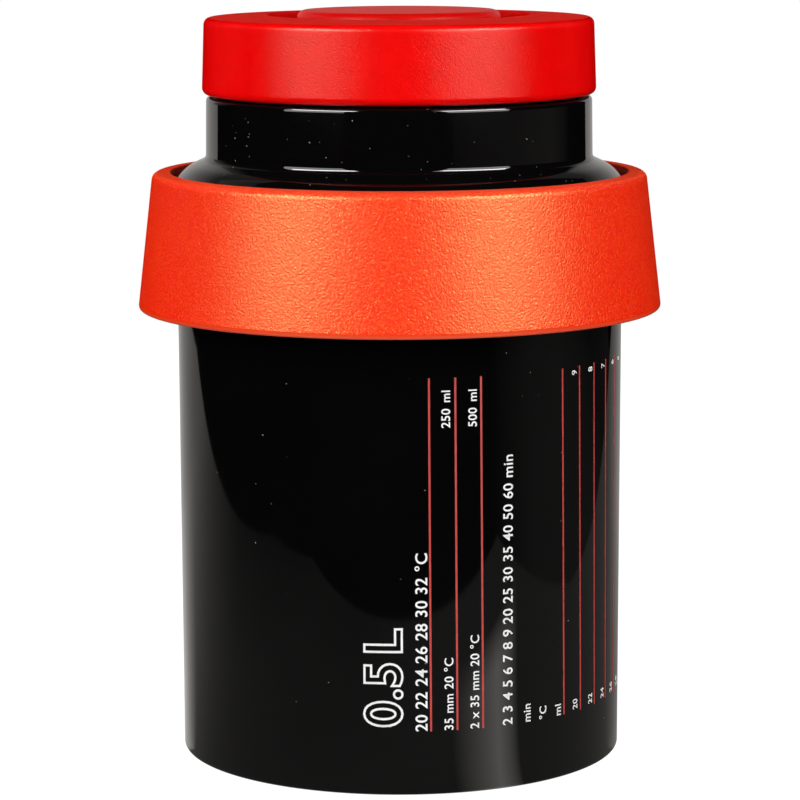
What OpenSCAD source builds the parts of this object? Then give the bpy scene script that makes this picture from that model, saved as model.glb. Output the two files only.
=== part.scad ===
// Film developing tank. A cup-shaped body and a lid with a pouring funnel are clamped together by a
// soft sealing ring, and a push-on cap with a bellows centre closes the lid's neck. Inside, a hollow
// core stands on the floor and carries two reels, each of two halves that set to the film's width.
// Millimetres, +Z up, with the origin on the axis at the foot.

/* [Tank body] */
// Outside diameter of the body below the sealing ring
body_d = 86; // [82:0.5:92]
// How much the body narrows, in radius, from its rim to its foot
body_draft = 0.35; // [0:0.05:0.8]
// Wall thickness of the body
body_wall = 2.4; // [1.8:0.1:3]
// Thickness of the body's floor
floor_t = 2.4; // [1.6:0.1:4]
// Height of the floor's underside above the foot
foot_recess = 0.8; // [0.5:0.1:2]
// Width of the foot ring
foot_w = 5.5; // [3:0.5:9]
// Rounding of the body's lower edge
foot_edge_r = 0.8; // [0.3:0.1:1.5]
// How far the clamped flanges stand out from the body
flange_out = 2.2; // [1.2:0.1:3]
// Height of the flange at the body's rim
rim_flange_h = 4; // [2.5:0.5:6]
// Free height from the reels to the body's rim
headroom = 7.9; // [6:0.1:20]

/* [Sealing ring] */
// Clearance of the ring's bore over the flanges
ring_gap = 0.2; // [0.1:0.05:0.5]
// Wall of the ring beside the flanges
ring_wall = 2.2; // [1.8:0.05:4]
// How much the ring flares, in radius, from its crown to its lower edge
ring_flare = 2.9; // [1:0.1:5]
// Height of the ring's lip above the lid's flange
ring_lip_h = 3.3; // [2.8:0.1:6]
// How far the ring's crown falls from its lip to its outer edge
ring_crown_fall = 0.2; // [0:0.1:1.5]
// Gap between the ring's lip and the lid's edge
ring_lip_gap = 0.8; // [0.4:0.1:1.4]
// Depth of the ring below the top of the lid's flange
ring_skirt_h = 23.1; // [14:0.1:30]
// Wall of the ring's skirt
ring_skirt_t = 2.4; // [1.6:0.1:3]

/* [Lid] */
// How far the lid's edge lies inside its flange
lid_edge_in = 2; // [1.4:0.1:3]
// Height of the lid's flange
lid_flange_h = 4; // [2.5:0.5:6]
// Height of the lid's edge above its flange
lid_edge_h = 2.1; // [1.5:0.1:4]
// Rise of the lid's shoulder from its edge to the neck
shoulder_h = 3.8; // [2.5:0.1:6]
// How far the lid's shoulder stands out from a straight cone
shoulder_bulge = 0.45; // [0.2:0.05:1]
// Outside diameter of the neck at the shoulder
neck_d = 74.5; // [70:0.5:77]
// How much the neck narrows, in radius, from the shoulder to its top
neck_draft = 0.15; // [0:0.05:0.4]
// Height of the neck from the shoulder to the ledge below the cap
neck_h = 11.8; // [8:0.1:16]
// Width of the ledge below the cap
ledge_w = 2; // [1.5:0.1:3]
// Height of the spigot that the cap fits over
spigot_h = 11.8; // [9:0.1:16]
// Wall thickness of the lid
lid_wall = 2.2; // [1.6:0.1:3]
// Depth of the plug that enters the body's mouth
plug_h = 4; // [2.5:0.1:5]
// Clearance of the plug in the body's mouth
plug_gap = 0.4; // [0.2:0.05:0.8]

/* [Funnel] */
// Wall thickness of the funnel
funnel_wall = 1.6; // [1:0.1:2.2]
// Thickness of the funnel's rim
funnel_rim_t = 1.2; // [0.8:0.1:2]
// Length of the funnel's tube inside the core
tube_overlap = 20; // [10:0.5:30]
// Clearance of the funnel's tube in the core
tube_gap = 0.35; // [0.2:0.05:0.8]
// Height of the funnel's throat above the core
throat_h = 6.4; // [3:0.2:12]

/* [Cap] */
// Clearance of the cap's skirt over the spigot
cap_gap = 0.3; // [0.1:0.05:0.6]
// Wall thickness of the cap's skirt
cap_wall = 2.5; // [1.9:0.1:3]
// How much the cap narrows, in radius, from its lower edge to its top
cap_draft = 0.5; // [0:0.05:0.8]
// How far the sealing bead stands in from the bore of the cap's skirt
cap_bead = 0.15; // [0.05:0.05:0.3]
// Gap between the ledge and the cap's lower edge
cap_ledge_gap = 0.4; // [0.3:0.1:2]
// Thickness of the cap's top at its edge
cap_top_t = 2; // [1.4:0.1:3]
// How far the cap's top rises from its edge to the groove
cap_crown = 0.55; // [0:0.05:1]
// Diameter of the raised button at the cap's centre
button_d = 39; // [34:0.5:44]
// Rise of the button above the edge of the cap's top
button_rise = 1.4; // [0.6:0.1:3]
// Thickness of the button
button_t = 1.8; // [1.2:0.1:2.6]
// Width of the groove around the button
groove_w = 5.5; // [4:0.1:7]
// Depth of the groove below the edge of the cap's top
groove_depth = 4.2; // [3.6:0.1:6]
// Wall thickness of the bellows in the groove
bellows_t = 1; // [0.7:0.1:1.4]

/* [Core] */
// Outside diameter of the core
core_d = 22; // [20:0.5:25]
// Wall thickness of the core
core_wall = 1.8; // [1.2:0.1:2.4]
// Diameter of the core's foot plate
core_plate_d = 44; // [38:0.5:60]
// Thickness of the core's foot plate
core_plate_t = 2; // [1.5:0.1:3]
// Height of the drain windows below the foot plate
window_h = 5; // [3:0.1:8]
// Width of the drain windows
window_w = 9; // [6:0.1:11]
// Height of the core's wall between its windows and its foot plate
window_bridge = 1; // [0.5:0.1:3]
// How far the core stands out above the reels
core_stickout = 2; // [1:0.1:5]
// Diameter of the drain holes in the foot plate
drain_d = 4.4; // [2:0.1:5]
// Number of drain holes in the foot plate
drain_count = 8; // [4:1:10]

/* [Reels] */
// Width between the reel's plates as the tank holds them, for 35 mm film
film_w = 35.2; // [34:0.1:37]
// Width between the reel's plates at their widest, for roll film
film_w_max = 61.6; // [58:0.1:63]
// Clearance between the reels and the body's wall at the foot
reel_gap = 1.05; // [0.6:0.05:2]
// Distance from one turn of the spiral to the next
spiral_pitch = 2.1; // [1.9:0.05:2.6]
// Thickness of the spiral rib
rib_t = 0.8; // [0.6:0.05:1]
// Height of the spiral rib
rib_h = 1.8; // [1.2:0.1:2.4]
// Thickness of the reel's plates
plate_t = 2; // [1.4:0.1:3]
// Height of the hub's end above the plate
standoff = 2; // [1.8:0.1:3]
// Width of the reel's rim
reel_rim_w = 1.8; // [1.2:0.1:2.5]
// Number of spokes in each plate
spokes = 8; // [6:1:12]
// Width of the spokes
spoke_w = 3.2; // [2:0.1:4.5]
// Clearance of the reel's hub over the core
hub_gap = 0.3; // [0.2:0.05:0.6]
// Clearance between the telescoping sleeves
sleeve_gap = 0.3; // [0.2:0.05:0.5]
// Wall thickness of the telescoping sleeves
sleeve_t = 1.5; // [1.2:0.1:2]
// Width of the lug that runs in the sleeve's slot
lug_w = 4; // [3:0.1:6]
// Height of the lug
lug_h = 4; // [3:0.1:6]
// Travel of the film stop
stop_travel = 2; // [1:0.1:2.4]
// Thickness of the film stop's head
stop_head_t = 1.2; // [0.8:0.1:1.4]
// Clearance of the film stop and the lug in their openings
slot_gap = 0.25; // [0.15:0.05:0.4]

/* [Hidden] */
$fn = 96;

black = "#131313";
ring_red = "#e8421d";
cap_red = "#dd0b0b";
reel_white = "#e8e6dd";

// Steps in each rounded corner of a turned profile
corner_steps = 6;
// Small roundings: crisp moulded edges, and softer ones
edge_r = 0.3;
soft_r = 0.8;
// Overlap that joins two shapes of one solid, and how far a cut runs past a face
weld = 0.4;
past = 1;

// Radii of the body and of what follows it
body_r = body_d / 2;
foot_r = body_r - body_draft;
mouth_r = body_r - body_wall;
floor_r = foot_r - body_wall;
flange_r = body_r + flange_out;
lid_edge_r = flange_r - lid_edge_in;
reel_r = floor_r - reel_gap;

// Radii of the core and of the sleeves around it
core_r = core_d / 2;
core_bore_r = core_r - core_wall;
hub_bore_r = core_r + hub_gap;
inner_sleeve_r = hub_bore_r + sleeve_t;
outer_sleeve_bore_r = inner_sleeve_r + sleeve_gap;
outer_sleeve_r = outer_sleeve_bore_r + sleeve_t;
hub_r = outer_sleeve_r + soft_r;

// Heights, from the foot to the cap's top
floor_z = foot_recess + floor_t;
core_plate_z = floor_z + window_h + window_bridge;
reel_z = core_plate_z + core_plate_t;
reel_h = 2 * (standoff + plate_t) + film_w;
reels_top_z = reel_z + 2 * reel_h;
core_top_z = reels_top_z + core_stickout;
rim_z = reels_top_z + headroom;
lid_flange_z = rim_z + lid_flange_h;
lid_edge_z = lid_flange_z + lid_edge_h;
shoulder_z = lid_edge_z + shoulder_h;
ledge_z = shoulder_z + neck_h;
spigot_z = ledge_z + spigot_h;
funnel_rim_z = spigot_z + funnel_rim_t;
cap_top_z = funnel_rim_z + cap_top_t;
button_z = cap_top_z + button_rise;

// Lid, funnel and cap
neck_r = neck_d / 2;
neck_top_r = neck_r - neck_draft;
shoulder_fillet = 1.2;
knee_fillet = 8;
spigot_r = neck_top_r - ledge_w;
spigot_bore_r = spigot_r - lid_wall;
plug_r = mouth_r - plug_gap;
plug_bore_r = plug_r - lid_wall;
funnel_r = spigot_bore_r - tube_gap;
tube_r = core_bore_r - tube_gap;
tube_bore_r = tube_r - funnel_wall;
tube_end_z = core_top_z - tube_overlap;
throat_z = core_top_z + throat_h;
cap_bore_r = spigot_r + cap_gap;
cap_r = cap_bore_r + cap_wall;
cap_z = ledge_z + cap_ledge_gap;
cap_edge_r = 1.3;
button_r = button_d / 2;
button_edge_r = 1.5;
groove_r = button_r + groove_w;
groove_z = cap_top_z - groove_depth;
// Height at which the bellows' wall joins the button's rim
bellows_z = button_z - button_t - soft_r;

// Sealing ring
ring_bore_r = flange_r + ring_gap;
ring_lip_r = lid_edge_r + ring_lip_gap;
ring_crown_r = ring_bore_r + ring_wall;
ring_edge_r = ring_crown_r + ring_flare;
ring_z = lid_flange_z - ring_skirt_h;
ring_top_z = lid_flange_z + ring_lip_h;
ring_grip_z = rim_z - rim_flange_h;
ring_crown_fillet = 1.4;
ring_edge_fillet = 0.5;

// Reel: the spiral's half turns fill the plate between the hub and the rim
spiral_r = hub_r + rib_t;
half_turns = floor((reel_r - reel_rim_w - rib_t - spiral_r) / (spiral_pitch / 2));
reel_travel = film_w_max - film_w;
sleeve_top = reel_h - standoff - plate_t - sleeve_gap;
sleeve_foot = standoff + plate_t + sleeve_gap;
lug_z = sleeve_top - lug_h;
slot_w = lug_w + 2 * slot_gap;
slot_z = lug_z - reel_travel - slot_gap;
// Stations of the locking notches, as widths between the plates
film_stations = [film_w, (film_w + film_w_max) / 2, film_w_max];
notch_w = 2.5;
entry_from = 3;
entry_to = 19;

// Film stop, on the spoke beside the film's entry
stop_angle = -180 / spokes;
stop_l = 2;
stop_w = 4.5;
stop_head_l = 5;
stop_head_w = 7.5;
stop_pad_l = 7.4;
stop_pad_w = 9;
stop_r = reel_r - stop_pad_l / 2;

// Turned profiles are lists of [radius, height, rounding], and rounded() swaps each corner for its arc
function unit(v) = v / norm(v);

function corner(before, at, after) =
    let (
        p = [at.x, at.y],
        a = unit([before.x, before.y] - p),
        b = unit([after.x, after.y] - p),
        half = acos(a * b) / 2,
        centre = p + unit(a + b) * at.z / sin(half),
        from = p + a * at.z / tan(half) - centre,
        to = p + b * at.z / tan(half) - centre,
        start = atan2(from.y, from.x),
        sweep = (atan2(to.y, to.x) - start + 540) % 360 - 180
    )
    at.z == 0 ? [p] : [
        for (i = [0 : corner_steps])
            let (t = start + sweep * i / corner_steps)
            centre + at.z * [cos(t), sin(t)]
    ];

function rounded(path) =
    let (n = len(path))
    [for (i = [0 : n - 1]) each corner(path[(i + n - 1) % n], path[i], path[(i + 1) % n])];

module turned(path) {
    rotate_extrude() polygon(rounded(path));
}

module tube(r, bore_r, h) {
    difference() {
        cylinder(r = r, h = h);
        translate([0, 0, -past]) cylinder(r = bore_r, h = h + 2 * past);
    }
}

// Cup with a foot ring, a clamping flange at its rim, and a cross on its floor that centres the core
module tank_body() {
    cross_l = 2 * (core_bore_r - tube_gap);
    cross_t = core_wall;
    foot_bore_r = foot_r - foot_w;
    floor_fillet = body_wall;
    color(black) {
        turned([
            [foot_r, 0, foot_edge_r],
            [body_r, ring_grip_z, edge_r],
            [flange_r, ring_grip_z, soft_r],
            [flange_r, rim_z, edge_r],
            [mouth_r, rim_z, edge_r],
            [floor_r, floor_z, floor_fillet],
            [0, floor_z, 0],
            [0, foot_recess, 0],
            [foot_bore_r, foot_recess, edge_r],
            [foot_bore_r, 0, edge_r],
        ]);
        for (turn = [45, 135])
            rotate(turn) translate([-cross_l / 2, -cross_t / 2, floor_z - weld])
                cube([cross_l, cross_t, window_h + weld]);
    }
}

// Hollow column with drain windows at its foot and a plate that the lower reel stands on
module core() {
    plate_r = core_plate_d / 2;
    drain_r = (hub_r + plate_r) / 2;
    color(black) difference() {
        turned([
            [core_bore_r, floor_z, 0],
            [core_r, floor_z, 0],
            [core_r, core_plate_z, edge_r],
            [plate_r, core_plate_z, edge_r],
            [plate_r, reel_z, edge_r],
            [core_r, reel_z, 0],
            [core_r, core_top_z, edge_r],
            [core_bore_r, core_top_z, soft_r],
        ]);
        for (turn = [0, 90])
            rotate(turn) translate([-core_r - past, -window_w / 2, floor_z - past])
                cube([2 * (core_r + past), window_w, window_h + past]);
        for (i = [0 : drain_count - 1])
            rotate((i + 0.5) * 360 / drain_count) translate([drain_r, 0, core_plate_z - past])
                cylinder(d = drain_d, h = core_plate_t + 2 * past);
    }
}

// Spiral rib as half turns about two centres, so that each is a true arc and meets the next one
module spiral_2d() {
    for (k = [0 : half_turns - 1]) {
        r = spiral_r + k * spiral_pitch / 2;
        side = k % 2;
        intersection() {
            translate([(side - 0.5) * spiral_pitch / 2, 0]) difference() {
                circle(r = r + rib_t / 2);
                circle(r = r - rib_t / 2);
            }
            translate([-body_r, -side * body_r]) square([2 * body_r, body_r]);
        }
    }
}

// Spokes and rim, with the rim open where the film enters
module reel_plate_2d() {
    rim_bore_r = reel_r - reel_rim_w;
    for (i = [0 : spokes - 1])
        rotate((i + 0.5) * 360 / spokes) translate([hub_r - weld, -spoke_w / 2])
            square([rim_bore_r + weld - (hub_r - weld), spoke_w]);
    difference() {
        circle(r = reel_r);
        circle(r = rim_bore_r);
        polygon([
            [0, 0],
            body_d * [cos(entry_from), sin(entry_from)],
            body_d * [cos(entry_to), sin(entry_to)],
        ]);
    }
}

// One side of a reel, standing on its hub with its spiral facing up
module reel_side() {
    cylinder(r = hub_r, h = standoff + plate_t);
    translate([0, 0, standoff]) linear_extrude(plate_t) reel_plate_2d();
    translate([0, 0, standoff + plate_t - weld]) linear_extrude(rib_h + weld) spiral_2d();
}

module hub_bore() {
    translate([0, 0, -past]) cylinder(r = hub_bore_r, h = reel_h + 2 * past);
}

// Lower half, whose sleeve slides on the core and ends in two lugs
module reel_lower_half() {
    lug_reach = outer_sleeve_r - sleeve_gap;
    color(reel_white) difference() {
        union() {
            reel_side();
            cylinder(r = inner_sleeve_r, h = sleeve_top);
            for (turn = [0, 180])
                rotate(turn) translate([hub_bore_r + weld, -lug_w / 2, lug_z])
                    cube([lug_reach - hub_bore_r - weld, lug_w, lug_h]);
        }
        hub_bore();
    }
}

// Upper half, whose sleeve slides over the lower one, with a slot and locking notches for each lug
module reel_upper_half() {
    plate_z = reel_h - standoff - plate_t;
    color(reel_white) difference() {
        union() {
            translate([0, 0, reel_h]) mirror([0, 0, 1]) reel_side();
            translate([0, 0, sleeve_foot]) cylinder(r = outer_sleeve_r, h = plate_z + weld - sleeve_foot);
            rotate(stop_angle) translate([stop_r - stop_pad_l / 2, -stop_pad_w / 2, plate_z])
                cube([stop_pad_l - reel_rim_w / 2, stop_pad_w, plate_t]);
        }
        hub_bore();
        translate([0, 0, sleeve_foot - past])
            cylinder(r = outer_sleeve_bore_r, h = plate_z - sleeve_foot + past);
        for (turn = [0, 180]) rotate(turn) {
            translate([hub_bore_r, -slot_w / 2, slot_z]) cube([hub_r - hub_bore_r, slot_w, plate_z - slot_z]);
            for (w = film_stations)
                translate([hub_bore_r, 0, lug_z - slot_gap - (w - film_w)])
                    cube([hub_r - hub_bore_r, slot_w / 2 + notch_w, lug_h + 2 * slot_gap]);
        }
        rotate(stop_angle) translate([stop_r - stop_l / 2 - slot_gap, -stop_w / 2 - slot_gap, 0])
            cube([stop_l + 2 * slot_gap, stop_w + 2 * slot_gap, reel_h]);
    }
}

// Clip at the film's entry: pressed down, its tongue crosses the outer turn and holds the film in
module reel_film_stop() {
    face_z = reel_h - standoff;
    color(cap_red) rotate(stop_angle) translate([stop_r, 0, 0]) {
        translate([-stop_head_l / 2, -stop_head_w / 2, face_z]) cube([stop_head_l, stop_head_w, stop_head_t]);
        translate([-stop_l / 2, -stop_w / 2, face_z - plate_t - stop_travel])
            cube([stop_l, stop_w, plate_t + stop_travel + weld]);
    }
}

module in_reel(number) {
    translate([0, 0, reel_z + (number - 1) * reel_h]) children();
}

// Middle of the shoulder, raised from the straight line between its ends
function shoulder_knee(edge, neck) =
    let (along = unit(neck - edge))
    (edge + neck) / 2 + shoulder_bulge * [along.y, -along.x];

// Outer shell of the lid: plug, clamping flange, shoulder, neck and the spigot under the cap
module lid_shell() {
    neck_bore_r = neck_r - lid_wall;
    knee = shoulder_knee([lid_edge_r, lid_edge_z], [neck_r, shoulder_z]);
    color(black) turned([
        [plug_r, rim_z - plug_h, soft_r],
        [plug_r, rim_z, 0],
        [flange_r, rim_z, edge_r],
        [flange_r, lid_flange_z, edge_r],
        [lid_edge_r, lid_flange_z, edge_r],
        [lid_edge_r, lid_edge_z, soft_r],
        [knee.x, knee.y, knee_fillet],
        [neck_r, shoulder_z, shoulder_fillet],
        [neck_top_r, ledge_z, soft_r],
        [spigot_r, ledge_z, edge_r],
        [spigot_r, spigot_z, edge_r],
        [spigot_bore_r, spigot_z, edge_r],
        [spigot_bore_r, ledge_z - lid_wall, edge_r],
        [neck_bore_r, ledge_z - lid_wall, edge_r],
        [neck_bore_r, shoulder_z - lid_wall, soft_r],
        [plug_bore_r, lid_edge_z - lid_wall, soft_r],
        [plug_bore_r, rim_z - plug_h, edge_r],
    ]);
}

// Funnel that hangs in the neck by its rim, with a tube that reaches into the core as a light trap
module lid_funnel() {
    slope = atan((funnel_r - tube_r) / (spigot_z - throat_z));
    cone_wall = funnel_wall / cos(slope);
    cone_mouth_r = funnel_r + funnel_rim_t * tan(slope) - cone_wall;
    inner_throat_z = throat_z + (cone_wall - funnel_wall) / tan(slope);
    throat_fillet = 6;
    color(black) turned([
        [tube_bore_r, tube_end_z, edge_r],
        [tube_r, tube_end_z, edge_r],
        [tube_r, throat_z, throat_fillet],
        [funnel_r, spigot_z, edge_r],
        [spigot_r, spigot_z, 0],
        [spigot_r, funnel_rim_z, edge_r],
        [cone_mouth_r, funnel_rim_z, edge_r],
        [tube_bore_r, inner_throat_z, throat_fillet],
    ]);
}

// Soft ring: its lip bears on the lid's flange, its bore grips both flanges, its skirt flares clear
module sealing_ring() {
    skirt_r = ring_edge_r - ring_skirt_t;
    color(ring_red) turned([
        [skirt_r, ring_z, edge_r],
        [ring_edge_r, ring_z, ring_edge_fillet],
        [ring_crown_r, ring_top_z - ring_crown_fall, ring_crown_fillet],
        [ring_lip_r, ring_top_z, edge_r],
        [ring_lip_r, lid_flange_z, edge_r],
        [ring_bore_r, lid_flange_z, 0],
        [ring_bore_r, ring_grip_z, soft_r],
    ]);
}

// Cap's skirt and top, with the outer wall of the groove
module cap_skirt() {
    cap_top_r = cap_r - cap_draft;
    groove_wall_r = groove_r + bellows_t;
    bead_z = cap_z + cap_wall;
    bead_h = 2 * soft_r;
    color(cap_red) turned([
        [cap_bore_r, cap_z, edge_r],
        [cap_r, cap_z, cap_edge_r],
        [cap_top_r, cap_top_z, cap_edge_r],
        [groove_r, cap_top_z + cap_crown, edge_r],
        [groove_r, groove_z, 0],
        [groove_wall_r, groove_z, 0],
        [groove_wall_r, funnel_rim_z, edge_r],
        [cap_bore_r, funnel_rim_z, edge_r],
        [cap_bore_r, bead_z + bead_h, 0],
        [cap_bore_r - cap_bead, bead_z + bead_h / 2, 0],
        [cap_bore_r, bead_z, 0],
    ]);
}

// Thin floor and inner wall of the groove, which fold as the button is pressed
module cap_bellows() {
    color(cap_red) turned([
        [button_r - bellows_t, groove_z - bellows_t, soft_r],
        [groove_r + bellows_t, groove_z - bellows_t, edge_r],
        [groove_r + bellows_t, groove_z, 0],
        [button_r, groove_z, edge_r],
        [button_r, bellows_z, 0],
        [button_r - bellows_t, bellows_z, 0],
    ]);
}

// Raised centre of the cap, a shallow cup turned over
module cap_button() {
    bore_r = button_r - bellows_t;
    color(cap_red) turned([
        [0, button_z - button_t, 0],
        [bore_r, button_z - button_t, edge_r],
        [bore_r, bellows_z, 0],
        [button_r, bellows_z, 0],
        [button_r, button_z, button_edge_r],
        [0, button_z, 0],
    ]);
}

tank_body();
core();
in_reel(1) reel_lower_half();  // reel_1_lower_half
in_reel(1) reel_upper_half();  // reel_1_upper_half
in_reel(1) reel_film_stop();  // reel_1_film_stop
in_reel(2) reel_lower_half();  // reel_2_lower_half
in_reel(2) reel_upper_half();  // reel_2_upper_half
in_reel(2) reel_film_stop();  // reel_2_film_stop
lid_shell();
lid_funnel();
sealing_ring();
cap_skirt();
cap_bellows();
cap_button();
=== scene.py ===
"""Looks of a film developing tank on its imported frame.

Metres in the part's own frame: +Z up, the origin on the axis at the foot, the printed side facing -Y.
Sizes are named in millimetres and turned into metres where a mesh is made.
"""
import math

import bmesh
import bpy
from mathutils import Euler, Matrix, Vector


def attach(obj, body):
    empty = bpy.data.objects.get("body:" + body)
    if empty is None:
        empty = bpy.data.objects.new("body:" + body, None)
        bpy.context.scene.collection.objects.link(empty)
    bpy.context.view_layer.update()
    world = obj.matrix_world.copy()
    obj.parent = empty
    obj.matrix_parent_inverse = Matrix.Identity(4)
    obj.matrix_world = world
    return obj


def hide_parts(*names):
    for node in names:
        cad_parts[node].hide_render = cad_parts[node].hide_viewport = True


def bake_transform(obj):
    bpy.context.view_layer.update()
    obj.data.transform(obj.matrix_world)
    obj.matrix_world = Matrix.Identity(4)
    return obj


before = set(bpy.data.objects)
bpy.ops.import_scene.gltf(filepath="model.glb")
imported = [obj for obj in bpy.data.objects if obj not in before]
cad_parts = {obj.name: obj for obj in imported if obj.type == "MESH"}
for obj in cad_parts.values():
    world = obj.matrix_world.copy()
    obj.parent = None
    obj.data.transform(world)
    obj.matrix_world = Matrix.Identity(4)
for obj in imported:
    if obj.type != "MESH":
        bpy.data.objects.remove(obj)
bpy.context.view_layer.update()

MM = 0.001
# Turned meshes: steps round the axis, longest step and fewest steps of a rounding, and its support points
TURNS = 256
ARC_STEP = math.radians(9)
ARC_STEPS_LEAST = 3
SUPPORT = 0.12
SUPPORT_ROOM = 4 * SUPPORT
ON_AXIS = 1e-6

# Roundings: crisp moulded edges, softer ones, and the large ones by name
EDGE_R = 0.3
SOFT_R = 0.8

# Body
BODY_R = 43.0
FOOT_R = 42.65
MOUTH_R = 40.6
FLOOR_R = 40.25
FLANGE_R = 45.2
FOOT_W = 5.5
FOOT_RECESS = 0.8
FLOOR_Z = 3.2
FLOOR_FILLET = 2.4
RING_GRIP_Z = 101.5
RIM_Z = 105.5
CROSS_L = 17.7
CROSS_T = 1.8
CROSS_H = 5.0

# Lid
PLUG_R = 40.2
PLUG_BORE_R = 38.0
PLUG_Z = 101.5
LID_FLANGE_Z = 109.5
LID_EDGE_R = 43.2
LID_EDGE_Z = 111.6
LID_WALL = 2.2
SHOULDER_BULGE = 0.45
KNEE_FILLET = 8.0
SHOULDER_Z = 115.4
SHOULDER_FILLET = 1.2
NECK_R = 37.25
NECK_TOP_R = 37.1
LEDGE_Z = 127.2
SPIGOT_R = 35.1
SPIGOT_BORE_R = 32.9
SPIGOT_Z = 139.0

# Funnel
FUNNEL_R = 32.55
FUNNEL_WALL = 1.6
FUNNEL_RIM_Z = 140.2
TUBE_R = 8.85
TUBE_BORE_R = 7.25
TUBE_END_Z = 79.6
THROAT_Z = 106.0
THROAT_FILLET = 6.0

# Sealing ring
RING_Z = 86.5
RING_TOP_Z = 112.8
RING_CROWN_Z = 112.6
RING_EDGE_R = 50.5
RING_CROWN_R = 47.6
RING_BORE_R = 45.4
RING_LIP_R = 44.0
RING_SKIRT_T = 2.4
RING_CROWN_FILLET = 1.4
RING_EDGE_FILLET = 0.55
RING_RIM_H = 0.75
RING_RIM_TAPER = 0.1

# Cap
CAP_Z = 127.6
CAP_R = 37.9
CAP_TOP_R = 37.4
CAP_BORE_R = 35.4
CAP_WALL = 2.5
CAP_BEAD = 0.15
CAP_TOP_Z = 142.2
CAP_CROWN = 0.55
CAP_EDGE_R = 1.3
GROOVE_R = 25.0
GROOVE_Z = 138.0
BUTTON_R = 19.5
BUTTON_Z = 143.6
BUTTON_T = 1.8
BUTTON_EDGE_R = 1.5
BELLOWS_T = 1.0
BELLOWS_Z = 141.0
# Least upward normal of the faces that count as the top of the cap and of its centre
CAP_TOP_NORMAL = 0.985
BUTTON_TOP_NORMAL = 0.96


# Mesh helpers

def corner(before, at, after):
    """Points of the arc that rounds one corner of a turned profile, or the sharp corner itself."""
    point = Vector(at[:2])
    fillet = at[2]
    if fillet == 0:
        return [point]
    a = (Vector(before[:2]) - point).normalized()
    b = (Vector(after[:2]) - point).normalized()
    half = math.acos(max(-1, min(1, a.dot(b)))) / 2
    centre = point + (a + b).normalized() * fillet / math.sin(half)
    start = point + a * fillet / math.tan(half) - centre
    end = point + b * fillet / math.tan(half) - centre
    sweep = start.angle_signed(end)
    steps = max(ARC_STEPS_LEAST, math.ceil(abs(sweep) / ARC_STEP))
    first = math.atan2(start.y, start.x)
    arc = []
    for i in range(steps + 1):
        turn = first - sweep * i / steps
        arc.append(centre + fillet * Vector((math.cos(turn), math.sin(turn))))
    return arc


def rounded(path):
    """A profile with rounded corners, and which of its points are sharp.

    A support point beside each arc lets flat walls shade flat.
    """
    count = len(path)
    arcs = [corner(path[i - 1], path[i], path[(i + 1) % count]) for i in range(count)]
    points = []
    sharp = []
    for i in range(count):
        here, there = arcs[i], arcs[(i + 1) % count]
        points += here
        sharp += [len(here) == 1] * len(here)
        way = there[0] - here[-1]
        if way.length > SUPPORT_ROOM:
            step = way.normalized() * SUPPORT
            if len(here) > 1:
                points.append(here[-1] + step)
                sharp.append(False)
            if len(there) > 1:
                points.append(there[0] - step)
                sharp.append(False)
    return points, sharp


def new_object(name, mesh_maker):
    """An object whose mesh is built by mesh_maker(bm), in metres, with its faces turned outwards."""
    bm = bmesh.new()
    mesh_maker(bm)
    bmesh.ops.recalc_face_normals(bm, faces=bm.faces)
    mesh = bpy.data.meshes.new(name)
    bm.to_mesh(mesh)
    bm.free()
    piece = bpy.data.objects.new(name, mesh)
    bpy.context.scene.collection.objects.link(piece)
    return piece


def add_lathe(bm, path):
    """Turn a closed profile of (radius, height, rounding) in millimetres about the Z axis."""
    points, sharp = rounded(path)
    rings = []
    for radius, height in points:
        if radius < ON_AXIS:
            rings.append([bm.verts.new((0, 0, height * MM))])
            continue
        ring = []
        for i in range(TURNS):
            turn = 2 * math.pi * i / TURNS
            at = (radius * math.cos(turn), radius * math.sin(turn), height)
            ring.append(bm.verts.new([size * MM for size in at]))
        rings.append(ring)
    for k, ring in enumerate(rings):
        after = rings[(k + 1) % len(rings)]
        if len(ring) == 1 and len(after) == 1:
            continue
        for i in range(TURNS):
            j = (i + 1) % TURNS
            near = [ring[i % len(ring)], ring[j % len(ring)]]
            far = [after[j % len(after)], after[i % len(after)]]
            face = bm.faces.new(list(dict.fromkeys(near + far)))
            face.smooth = True
    for ring, is_sharp in zip(rings, sharp):
        if is_sharp and len(ring) > 1:
            for i in range(TURNS):
                bm.edges.get((ring[i], ring[(i + 1) % TURNS])).smooth = False


def lathe(name, path):
    return new_object(name, lambda bm: add_lathe(bm, path))


def add_box(bm, size, centre, turn=0):
    """A box in millimetres, turned about the Z axis by an angle in radians."""
    spin = Euler((0, 0, turn)).to_matrix()
    verts = bmesh.ops.create_cube(bm, size=1)["verts"]
    for vert in verts:
        at = Vector(vert.co[k] * size[k] + centre[k] for k in range(3))
        vert.co = spin @ at * MM


# Materials: a pair of tones runs from the first to the second over a noise. Sizes and depths in millimetres

# Sockets of a Mix node that blends colours
MIX_FIRST = 6
MIX_SECOND = 7
MIX_RESULT = 2

BLACK_TONES = ((0.0015, 0.0013, 0.0013, 1), (0.0025, 0.0022, 0.0022, 1))
BLACK_ROUGHNESS = (0.028, 0.055)
BLACK_PATCH_SIZE = 14
SMEAR_SIZE = 22
WAVE_SIZE = 30
WAVE_DEPTH = 0.02
DUST_TONE = (0.30, 0.29, 0.27, 1)
DUST_SPACING = 1.5
DUST_R = 0.12
DUST_CLUSTER = 9
DUST_CLUSTER_EDGE = (0.4, 0.65)
DUST_ROUGHNESS = 0.5
DUST_DEPTH = 0.03
BODY_DUST = 0.12
LID_DUST = 1.3

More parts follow.
